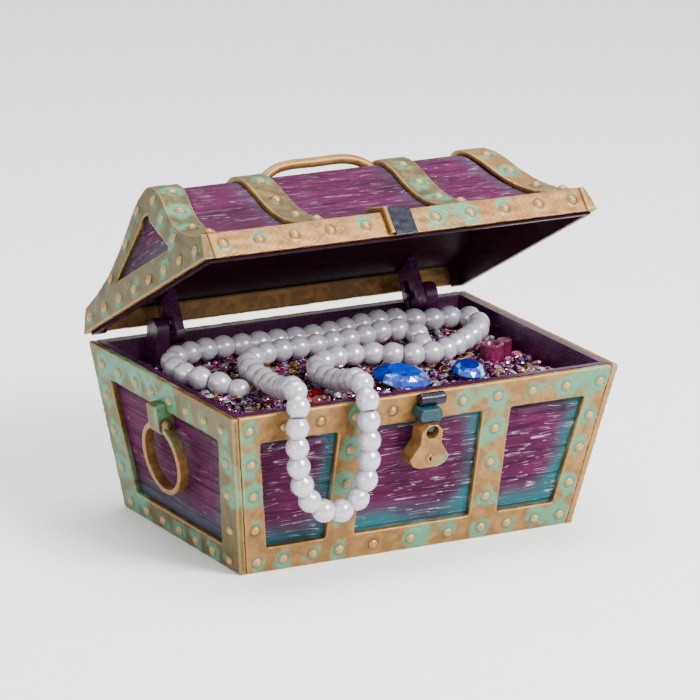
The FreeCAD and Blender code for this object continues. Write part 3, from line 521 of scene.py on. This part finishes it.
def moulded_plum(name, colour=TUB_PLUM, dark=TUB_DARK, rough=0.3, shine=0.4):
    """Bare moulded plastic with faint flow marks."""
    paint = Paint(name, IOR=1.5, Specular_IOR_Level=shine, Coat_Weight=shine * 0.4, Coat_Roughness=0.15)
    place = paint.place()
    flow = paint.noise(paint.stretched(place, (30.0, 90.0, 240.0)), 1.0, 4.0, 0.55, 0.8)
    speck = paint.noise(place, 900.0, 3.0)
    paint.set("Base Color", paint.mix(paint.span(flow, 0.3, 0.7), colour, dark))
    paint.set("Roughness", paint.span(speck, 0.3, 0.7, rough - 0.06, rough + 0.12))
    paint.set("Normal", paint.bump(paint.math("ADD", flow, paint.math("MULTIPLY", speck, 0.2)), 0.18, 0.3 * MM))
    return paint.material


def enamel(name, colour, worn, rough=0.22):
    """Gloss enamel that has chipped on its raised places."""
    paint = Paint(name, IOR=1.5, Specular_IOR_Level=0.25, Coat_Weight=0.12, Coat_Roughness=0.12)
    place = paint.place()
    chips = paint.noise(place, 800.0, 5.0, 0.65)
    hollow = paint.value("hollow")
    chipped = paint.math("ADD", paint.math("MULTIPLY", hollow, -0.3), chips)
    coat = paint.mix(paint.span(chips, 0.35, 0.65), colour, tuple(c * 0.45 for c in colour))
    paint.set("Base Color", paint.mix(paint.span(chipped, 0.84, 0.98), coat, worn))
    paint.set("Roughness", paint.span(chips, 0.3, 0.7, rough, rough + 0.2))
    paint.set("Normal", paint.bump(chips, 0.2, 0.2 * MM))
    return paint.material


def pearl_paint():
    """Pearl lacquer: milky lavender with faint swirls and a sharp highlight."""
    paint = Paint("pearl_lacquer", IOR=1.55, Coat_Weight=0.7, Coat_Roughness=0.06, Metallic=0.25,
                  Subsurface_Weight=0.12, Subsurface_Scale=0.002)
    tone = paint.value("tone")
    swirl = paint.noise(paint.place(), 320.0, 4.0, 0.5, 1.5)
    body = paint.mix(tone, (0.44, 0.405, 0.45), (0.42, 0.41, 0.49))
    body = paint.mix(paint.span(swirl, 0.35, 0.65, 0.0, 0.5), body, (0.52, 0.47, 0.50))
    paint.set("Base Color", body)
    paint.set("Roughness", paint.span(swirl, 0.3, 0.7, 0.2, 0.32))
    paint.set("Normal", paint.bump(swirl, 0.08, 0.3 * MM))
    return paint.material


def thread_paint():
    paint = Paint("thread_fibre", Roughness=0.8)
    wave = {"Vector": paint.place(), "Scale": 900.0, "Distortion": 2.0}
    ply = paint.add("ShaderNodeTexWave", wave).outputs["Fac"]
    paint.set("Base Color", paint.mix(ply, (0.72, 0.70, 0.72), (0.86, 0.84, 0.86)))
    paint.set("Normal", paint.bump(ply, 0.4, 0.1 * MM))
    return paint.material


def gem_paint(name, deep, lit_facet_colour, glint_colour):
    """A foil-backed faceted stone with painted reflections: each facet is painted its own brightness between the dark
    and the lit colour, and a few facets get a painted glint.
    """
    paint = Paint(name, IOR=1.6, Coat_Weight=1.0, Coat_Roughness=0.02, Roughness=0.08)
    place = paint.place()
    tone = paint.value("tone")
    inner = paint.cells(place, 420.0)
    glint = paint.noise(place, 640.0, 2.0)
    # each facet's painted brightness between the dark and the lit colour: painted reflections
    shade = paint.math("ADD", paint.math("MULTIPLY", tone, 0.75), paint.math("MULTIPLY", inner, 0.35))
    colour = paint.mix(paint.span(shade, 0.25, 0.85), deep, lit_facet_colour)
    # a few facets turned to the glint colour: painted glints
    colour = paint.mix(paint.span(paint.math("ADD", tone, glint), 1.28, 1.5), colour, glint_colour)
    paint.set("Base Color", colour)
    paint.set("Metallic", paint.span(tone, 0.2, 0.9, 0.25, 0.6))
    return paint.material


MATERIALS = {
    "weathered_gold": weathered_gold("weathered_gold", mint=0.62, deep=0.3),
    "lid_gold": weathered_gold("lid_gold", mint=0.42, deep=0.1),
    "strap_gold": weathered_gold("strap_gold", mint=0.5, deep=0.45, olive=0.5),
    "side_gold": weathered_gold("side_gold", mint=0.72, deep=0.5, olive=0.62),
    "rear_gold": weathered_gold("rear_gold", mint=0.45, deep=0.45),
    "band_wood": weathered_gold("band_wood", mint=-0.6, deep=0.5),
    "front_planks": plank_paint("front_planks", 0.95, 0.75),
    "side_planks": plank_paint("side_planks", 0.45, 0.25),
    "roof_planks": plank_paint("roof_planks", 0.25, 0.5),
    "gable_planks": plank_paint("gable_planks", 0.35, 0.45),
    # the lid's inside is painted a far darker plum than the tub's plastic: painted shade inside the open lid
    "lid_inside": moulded_plum("lid_inside_shaded_plastic", (0.020, 0.001, 0.008), (0.008, 0.0004, 0.003), 0.4, 0.08),
    "plum_plank": moulded_plum("tub_plastic"),
    "wine_resin": moulded_plum("tray_resin", PLUM_RED, (0.03, 0.004, 0.015), 0.2),
    "air_tube": moulded_plum("air_tube_plastic", PLUM, PLUM_DARK, 0.25),
    "nozzle_plum": moulded_plum("nozzle_plastic", (0.13, 0.006, 0.042), (0.07, 0.004, 0.025), 0.24),
    "ballast_stone": moulded_plum("ballast_stone", (0.4, 0.38, 0.35), (0.2, 0.19, 0.18), 0.8),
    "navy_enamel": enamel("navy_enamel", (0.005, 0.006, 0.018), (0.30, 0.20, 0.12)),
    "teal_enamel": enamel("teal_enamel", (0.006, 0.045, 0.065), (0.03, 0.16, 0.12), 0.3),
    "pearl": pearl_paint(),
    "thread": thread_paint(),
    # each stone: its dark facet colour, its lit facet colour and its painted glint colour
    "blue_gem": gem_paint("blue_stone", (0.002, 0.012, 0.20), (0.008, 0.085, 0.75), (0.40, 0.75, 0.95)),
    "red_gem": gem_paint("red_stone", (0.07, 0.001, 0.003), (0.45, 0.006, 0.010), (0.95, 0.4, 0.4)),
    "magenta_gem": gem_paint("magenta_stone", (0.035, 0.001, 0.012), (0.30, 0.006, 0.085), (0.95, 0.45, 0.75)),
    "violet_gem": gem_paint("violet_stone", (0.008, 0.001, 0.012), (0.07, 0.006, 0.075), (0.7, 0.5, 0.9)),
    "gold_gem": gem_paint("amber_stone", (0.05, 0.014, 0.003), (0.42, 0.17, 0.03), (1.0, 0.85, 0.5)),
    "clear_gem": gem_paint("clear_stone", (0.03, 0.02, 0.03), (0.42, 0.42, 0.46), (1.0, 1.0, 1.0)),
}


def finish_with(obj, material):
    obj.data.materials.clear()
    obj.data.materials.append(MATERIALS[material])
    return obj


finish_with(thread, "thread")
finish_with(pearls, "pearl")
for node, obj in frame["nodes"].items():
    finish_with(obj, SLOT_OF[node])


# ---- bands and furniture ----

RIVETED_VOXEL = 0.4         # a casting in larger cells than this, in mm, is a riveted band
BAND_ROUGH, FURNITURE_ROUGH = 0.075 * MM, 0.02 * MM


def cast_band(node, voxel, material, seed):
    """A gold piece: a riveted band, or plain furniture with a finer surface."""
    banded = voxel > RIVETED_VOXEL
    rivets = rivet_places(node) if banded else ()
    rough = BAND_ROUGH if banded else FURNITURE_ROUGH

    def uneven(co):
        return rough * (waves(co, 6.0, seed) + 0.5 * waves(co, 2.2, seed + 50) - 1.2)

    finish_with(cast(node + "_casting", node, voxel, uneven, rivets), material)


def settled(co):
    return 0.04 * MM * waves(co, 3.0, 70) - 0.05 * MM


BANDS = (
    ("front_frame", 0.42, "weathered_gold"), ("rear_frame", 0.5, "rear_gold"), ("left_frame", 0.42, "side_gold"),
    ("right_frame", 0.5, "rear_gold"), ("lid_left_frame", 0.42, "side_gold"), ("lid_right_frame", 0.5, "lid_gold"),
    ("lid_front_band", 0.42, "lid_gold"), ("lid_rear_band", 0.5, "band_wood"),
    ("lid_left_strap", 0.42, "strap_gold"), ("lid_right_strap", 0.42, "strap_gold"),
    ("top_handle", 0.3, "lid_gold"), ("left_ring_lug", 0.3, "side_gold"), ("right_ring_lug", 0.3, "rear_gold"),
    ("left_ring", 0.28, "weathered_gold"), ("right_ring", 0.28, "rear_gold"),
    ("padlock", 0.26, "weathered_gold"), ("hasp_edge", 0.22, "lid_gold"),
)
for index, (node, voxel, material) in enumerate(BANDS):
    cast_band(node, voxel, material, 11 + index)

SMALL = (
    ("lid_hasp", 0.24, "navy_enamel"), ("catch_barrel", 0.22, "navy_enamel"), ("padlock_staple", 0.24, "teal_enamel"),
    ("air_nozzle", 0.25, "nozzle_plum"), ("tray_boss", 0.25, "nozzle_plum"), ("air_inlet", 0.3, "air_tube"),
    ("left_hinge_post", 0.3, "plum_plank"), ("right_hinge_post", 0.3, "plum_plank"),
    ("left_hinge_pin", 0.25, "plum_plank"), ("right_hinge_pin", 0.25, "plum_plank"),
    ("left_hinge_arm", 0.3, "plum_plank"), ("right_hinge_arm", 0.3, "plum_plank"),
)
for node, voxel, material in SMALL:
    finish_with(cast(node + "_moulding", node, voxel, settled), material)


# ---- plank panels, laid on the tub and lid inside the windows ----

PANEL_LIFT, PANEL_SINK = 0.42, -0.25        # above and below the CAD surface, mm
GROOVE_DEPTH, GROOVE_HALF = 0.26, 0.30
V_STEP, U_STEP = 0.30, 0.85
RIDGE_RELIEF, GRAIN_SHIFT = 0.16, 300
TOP_HALF, FOOT_HALF, BASE_H = (74.0, 49.45), (64.05, 40.0), 57.1
FULL_TURN = 6.28


def wood(u, v, plank, seed):
    """Relief of boards laid along u: how high the grain stands (0 to 1) and how deep the groove is (0 to 1)."""
    draw = np.random.default_rng(seed)
    board = np.floor(v / plank).astype(int)
    shift = draw.uniform(0, 400, 64)[board % 64]
    ridge = np.zeros_like(u)
    for period, weight, bend in ((2.3, 0.35, 1.1), (1.35, 0.3, 0.6), (4.1, 0.35, 2.0)):
        warp = np.zeros_like(u)
        for length in (64.0, 27.0, 11.0):
            warp += bend * length / 90.0 * np.sin(2 * math.pi * (u + shift) / length + draw.uniform(0, FULL_TURN))
        fade = 0.65 + 0.35 * np.sin(2 * math.pi * (u * 1.3 + shift) / 23.0 + draw.uniform(0, FULL_TURN))
        ridge += weight * fade * np.sin(2 * math.pi * (v + warp) / period + draw.uniform(0, FULL_TURN))
    from_joint = plank / 2 - np.abs((v % plank) - plank / 2)
    return 0.5 + 0.5 * ridge, np.exp(-(from_joint / GROOVE_HALF) ** 2)


def airbrush(u, v, v_span, edges):
    """How blue-green each point is: most at the window's right and foot, a little at its head."""
    right = np.exp(-((edges[:, 1:] - u) / 6.5) ** 2)
    foot = np.exp(-((v_span[1] - v) / 8.0) ** 2)
    head = 0.45 * np.exp(-((v - v_span[0]) / 4.0) ** 2)
    return 1 - (1 - right * (0.75 + 0.25 * foot)) * (1 - 0.8 * foot) * (1 - head)


def slab_faces(rows, columns):
    """Faces of a grid of corners with walls and a back. The back's corners follow the grid's, two to a row."""
    wide = columns + 1
    faces = [(j * wide + i, j * wide + i + 1, (j + 1) * wide + i + 1, (j + 1) * wide + i)
             for j in range(rows) for i in range(columns)]
    low = (rows + 1) * wide
    for j in range(rows):
        left, right = low + 2 * j, low + 2 * j + 1
        faces.append((j * wide, (j + 1) * wide, left + 2, left))
        faces.append((j * wide + columns, right, right + 2, (j + 1) * wide + columns))
        faces.append((left, left + 2, right + 2, right))
    faces.append(tuple(range(wide))[::-1] + (low, low + 1))
    last = rows * wide
    faces.append(tuple(range(last, last + wide)) + (low + 2 * rows + 1, low + 2 * rows))
    return faces


def panel(name, node, place, v_span, u_edges, plank, material, seed):
    """A sheet of boards over a CAD surface. place(u, v) gives a point above the surface and the way out of it."""
    below = frame["nodes"][node].data
    tree = BVHTree.FromPolygons([v.co for v in below.vertices], [tuple(f.vertices) for f in below.polygons])
    coarse = 1.0
    v0, v1 = v_span
    rows = int((v1 - v0) / (V_STEP * coarse)) + 1
    widest = max(u_edges(v)[1] - u_edges(v)[0] for v in v_span)
    columns = int(widest / (U_STEP * coarse)) + 1
    v = np.repeat(np.linspace(v0, v1, rows + 1)[:, None], columns + 1, 1)
    edges = np.array([u_edges(x) for x in v[:, 0]])
    share = np.linspace(0, 1, columns + 1)[None, :]
    u = edges[:, :1] + (edges[:, 1:] - edges[:, :1]) * share
    ridge, groove = wood(u, v, plank, seed)
    height = PANEL_LIFT + RIDGE_RELIEF * (ridge - 0.5) - GROOVE_DEPTH * groove
    verts, back = [], []
    for j in range(rows + 1):
        for i in range(columns + 1):
            start, out = place(u[j, i], v[j, i])
            hit = tree.ray_cast(Vector(start) * MM, -Vector(out))[0]
            verts.append(hit + Vector(out) * height[j, i] * MM)
            if i in (0, columns):
                back.append(hit + Vector(out) * PANEL_SINK * MM)
    mesh = mesh_from(name, verts + back, slab_faces(rows, columns))

    def pad(values, fill):
        return np.concatenate([values.ravel(), np.full(len(back), fill)])

    across = pad(u, 0) + GRAIN_SHIFT * seed
    set_vector(mesh, "flat", np.stack([across, pad(v, 0), np.zeros_like(across)], 1) * MM)
    set_float(mesh, "ridge", pad(ridge, 0))
    set_float(mesh, "groove", pad(groove, 1))
    set_float(mesh, "edge", pad(airbrush(u, v, v_span, edges), 1))
    obj = finish_with(new_object(name, mesh), material)
    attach(obj, BODY_OF[node])


def side_place(outward):
    """Points over one sloping side of the base: u to the viewer's right, v down the slope."""
    axis = 0 if outward[0] else 1
    out = np.array(outward, float)
    start = out * TOP_HALF[axis] + (0, 0, BASE_H)
    down = out * FOOT_HALF[axis] - start
    down /= np.linalg.norm(down)
    right = np.array((-out[1], out[0], 0.0))
    normal = np.cross(down, right)
    return lambda u, v: (start + right * u + down * v + normal * 1.0, normal)


def between(low, high):
    """Window edges that lean: each given at the window's top and foot."""
    (v0, a0, b0), (v1, a1, b1) = low, high
    return lambda v: (a0 + (a1 - a0) * (v - v0) / (v1 - v0), b0 + (b1 - b0) * (v - v0) / (v1 - v0))


LONG_SPAN, END_SPAN = (10.1, 49.3), (10.7, 50.0)         # the windows' head and foot, down the slope
LONG_WINDOWS = (
    ("left", (-62.4, -32.6), (-55.4, -32.6)), ("middle", (-22.4, 22.4), (-22.4, 22.4)),
    ("right", (32.6, 62.4), (32.6, 55.4)),
)
END_HEAD, END_FOOT = (-37.3, 37.3), (-29.3, 29.3)
LONG_PLANK, END_PLANK, ROOF_PLANK, GABLE_PLANK = 9.7, 6.6, 8.4, 5.6


def base_panels():
    seed = 0
    for side, outward in (("front", (0, -1, 0)), ("rear", (0, 1, 0))):
        for part, head, foot in LONG_WINDOWS:
            seed += 1
            edges = between((LONG_SPAN[0], *head), (LONG_SPAN[1], *foot))
            panel(f"{side}_{part}_planks", "inner_tub", side_place(outward), LONG_SPAN, edges,
                  LONG_PLANK, "front_planks", seed)
    edges = between((END_SPAN[0], *END_HEAD), (END_SPAN[1], *END_FOOT))
    for seed, side, outward in ((11, "left", (-1, 0, 0)), (12, "right", (1, 0, 0))):
        panel(f"{side}_end_planks", "inner_tub", side_place(outward), END_SPAN, edges,
              END_PLANK, "side_planks", seed)


LID_OPEN, LID_Y, LID_Z, LID_D = math.radians(30.0), 50.8, 58.5, 94.6
HUB_B, HUB_REACH, ROOF_R, ROOF_RISE = 6.0, 70.0, 40.0, 31.0      # the roof's boards are cast towards a hub line
END_LEAN, LID_BAND_H, ROOF_OUTER = math.tan(math.radians(17.5)), 8.8, 62.6
MID_WINDOW, STRAP_EDGE = 22.4, 32.6
GABLE_TOP, GABLE_H, GABLE_TIP, GABLE_SPREAD, GABLE_FAR = 27.4, 16.8, 3.2, 17.6, 90.0


def lid_point(x, y, b):
    """A point of the lid's own flat drawing, where the open lid holds it."""
    c, s = math.cos(LID_OPEN), math.sin(LID_OPEN)
    return np.array((x, LID_Y + y * c + b * s, LID_Z - y * s + b * c))


def lid_way(x, y, b):
    """A direction of the lid's own flat drawing, as the open lid holds it."""
    return lid_point(x, y, b) - lid_point(0, 0, 0)


def roof_place(u, v):
    angle = v / ROOF_R
    way = lid_way(0, -math.cos(angle), math.sin(angle))
    return lid_point(u, -LID_D / 2, HUB_B) + way * HUB_REACH, way


def roof_outer(v):
    """How far the roof's boards reach under the leaning end strap."""
    height = HUB_B + ROOF_RISE * math.sin(v / ROOF_R)
    return ROOF_OUTER - END_LEAN * max(height - LID_BAND_H, 0.0) + 1.0


def gable_edges(v):
    half = GABLE_TIP + GABLE_SPREAD * v / GABLE_H
    return -half, half


def lid_panels():
    span = (math.radians(5.0) * ROOF_R, math.radians(175.0) * ROOF_R)
    roof = (("middle", lambda v: (-MID_WINDOW, MID_WINDOW)), ("left", lambda v: (-roof_outer(v), -STRAP_EDGE)),
            ("right", lambda v: (STRAP_EDGE, roof_outer(v))))
    for seed, (part, edges) in enumerate(roof, 21):
        panel(f"roof_{part}_planks", "lid_shell", roof_place, span, edges, ROOF_PLANK, "roof_planks", seed)
    for seed, side, sign in ((31, "left", -1), (32, "right", 1)):
        way = lid_way(sign, 0, 0)

        def place(u, v):
            return lid_point(sign * GABLE_FAR, -LID_D / 2 - sign * u, GABLE_TOP - v), way

        panel(f"{side}_gable_planks", "lid_shell", place, (0.0, GABLE_H), gable_edges,
              GABLE_PLANK, "gable_planks", seed)


base_panels()
lid_panels()
# the lid shell shows only its inside, which takes the darker plum of painted shade
finish_with(frame["nodes"]["lid_shell"], "lid_inside")


# ---- stones ----

TRAY_TOP = 47.5
KINDS = (("magenta", 0.42), ("violet", 0.34), ("gold", 0.12), ("clear", 0.12))
STONE_PITCH, STONE_STRAY, LAYERS = 3.75, 0.9, (0.2, 2.1)         # the layers' heights above the tray
WELL_HALF_X, WELL_HALF_Y = 64.0, 40.5
NOZZLE_AT, BOSS_AT = (52.0, -4.5, 4.6), (62.0, 3.5, 3.0)
POST_AT, ARM_AT = (52.5, 39.6, 5.2), (47.1, 38.5, 7.0)


def facets(radius, height, sides, stretch=1.0):
    """A brilliant cut: foot, girdle, a crown of kites and triangles, and a flat table."""
    def ring(share, z, half):
        points = []
        for i in range(sides):
            a = 2 * math.pi * (i + half) / sides
            points.append(Vector((stretch * radius * share * math.cos(a), radius * share * math.sin(a), z * height)))
        return points

    verts = ring(0.45, 0.0, 0) + ring(1.0, 0.46, 0) + ring(1.0, 0.54, 0) + ring(0.80, 0.82, 0.5) + ring(0.56, 1.0, 0)
    foot, girdle, crown, kite, top = (k * sides for k in range(5))
    faces = [tuple(range(sides))[::-1], tuple(range(top, top + sides))]
    for i in range(sides):
        j = (i + 1) % sides
        faces += [(foot + i, foot + j, girdle + j, girdle + i), (girdle + i, girdle + j, crown + j, crown + i),
                  (crown + i, crown + j, kite + i), (crown + j, kite + j, kite + i),
                  (kite + i, kite + j, top + j), (kite + i, top + j, top + i)]
    return verts, faces


def stone_mesh(name, stones, seed):
    draw = random.Random(seed)
    verts, faces, tones = [], [], []
    for (shape, shape_faces), matrix in stones:
        start = len(verts)
        verts += [matrix @ v for v in shape]
        faces += [tuple(start + i for i in f) for f in shape_faces]
        # a random number for each facet, which the stone paint turns into painted reflections and glints
        tones += [draw.random() for _ in shape_faces]
    mesh = mesh_from(name, [v * MM for v in verts], faces, smooth=False)
    set_float(mesh, "tone", tones, "FACE")
    return new_object(name, mesh)


def lay(x, y, z, lean, turn, spin=0.0):
    """A stone's place: turned about its own axis, tipped, then spun to tip any way."""
    return (Matrix.Translation((x, y, z)) @ Matrix.Rotation(spin, 4, "Z") @ Matrix.Rotation(lean, 4, "X")
            @ Matrix.Rotation(turn, 4, "Z"))


def clear_of_furniture(x, y, size):
    """Whether a stone is inside the well and off the nozzle, the boss, the posts and the arms' way down."""
    if abs(x) > WELL_HALF_X - size or not -WELL_HALF_Y + size < y < WELL_HALF_Y - size:
        return False
    spots = [(x - ax, y - ay, r) for ax, ay, r in (NOZZLE_AT, BOSS_AT)]
    spots += [(abs(x) - ax, y - ay, r) for ax, ay, r in (POST_AT, ARM_AT)]
    return all(math.hypot(a, b) >= r + size for a, b, r in spots)


def kind_for(pick):
    """The colour that a number from 0 to 1 falls to, each as common as its share."""
    total = 0.0
    for kind, share in KINDS:
        total += share
        if pick < total:
            break
    return kind


def scatter_stones():
    """Small cut stones tipped at random, two deep over the tray."""
    draw = random.Random(41)
    heaps = {kind: [] for kind, _ in KINDS}
    places = [(level, row, column) for level in (0, 1) for row in range(-11, 12) for column in range(-17, 18)]
    for level, row, column in places:
        across = (column + 0.5 * (row % 2) + 0.25 * level) * STONE_PITCH
        x = across + draw.uniform(-STONE_STRAY, STONE_STRAY)
        y = row * STONE_PITCH * 0.9 + draw.uniform(-STONE_STRAY, STONE_STRAY)
        size = draw.uniform(1.55, 2.25)
        z = TRAY_TOP + LAYERS[level] + draw.uniform(-0.15, 0.5)
        if clear_of_furniture(x, y, size):
            kind = kind_for(draw.random())
            shape = facets(size, size * draw.uniform(0.7, 0.95), 8)
            turns = draw.uniform(0, 0.55), draw.uniform(0, FULL_TURN), draw.uniform(0, FULL_TURN)
            heaps[kind].append((shape, lay(x, y, z, *turns)))
    for seed, (kind, stones) in enumerate(heaps.items(), 51):
        node = kind + "_rhinestones"
        finish_with(adopt(stone_mesh(kind + "_small_stones", stones, seed), node), SLOT_OF[node])


LARGE = (       # node, radius, height, sides, stretch, place, lean and turn in degrees
    ("blue_oval_gem", 6.8, 6.0, 16, 1.45, (6.0, -21.0, 50.9), 20, -24),
    ("blue_round_gem", 6.0, 4.6, 14, 1.0, (31.5, -22.0, 51.0), 14, 0),
    ("red_gem", 4.6, 4.0, 12, 1.0, (-30.2, -28.0, 50.9), 8, 20),
)


def large_stones():
    for seed, (node, radius, height, sides, stretch, place, lean, turn) in enumerate(LARGE, 61):
        where = lay(*place, math.radians(lean), math.radians(turn))
        stone = stone_mesh(node + "_cut", [(facets(radius, height, sides, stretch), where)], seed)
        finish_with(adopt(stone, node), SLOT_OF[node])


scatter_stones()
large_stones()


# ---- stage and light ----

LIGHT_AIM, FLOOR_HALF = (0, 0, 0.05), 3


def area_light(name, place, width, height, power):
    data = bpy.data.lights.new(name, "AREA")
    data.shape = "RECTANGLE"
    data.size, data.size_y = width, height
    data.energy = power
    lamp = bpy.data.objects.new(name, data)
    lamp.location = place
    lamp.rotation_euler = (Vector(LIGHT_AIM) - Vector(place)).to_track_quat("-Z", "Y").to_euler()
    bpy.context.scene.collection.objects.link(lamp)


def make_stage():
    half = FLOOR_HALF
    corners = [(-half, -half, 0), (half, -half, 0), (half, half, 0), (-half, half, 0)]
    floor = new_object("floor", mesh_from("floor", corners, [(0, 1, 2, 3)]))
    paint = Paint("floor_paint", Roughness=0.9, Base_Color=(0.9, 0.9, 0.9))
    floor.data.materials.append(paint.material)
    world = bpy.data.worlds.new("studio")
    world.use_nodes = True
    background = world.node_tree.nodes["Background"]
    background.inputs["Color"].default_value = (1.0, 1.0, 1.0, 1.0)
    background.inputs["Strength"].default_value = 1.0
    bpy.context.scene.world = world
    area_light("key", (0.35, -0.75, 0.75), 0.45, 0.35, 26.0)
    area_light("left_fill", (-0.9, -0.5, 0.35), 0.5, 0.5, 4.0)
    area_light("top", (0.1, 0.2, 1.0), 0.7, 0.5, 12.0)


make_stage()
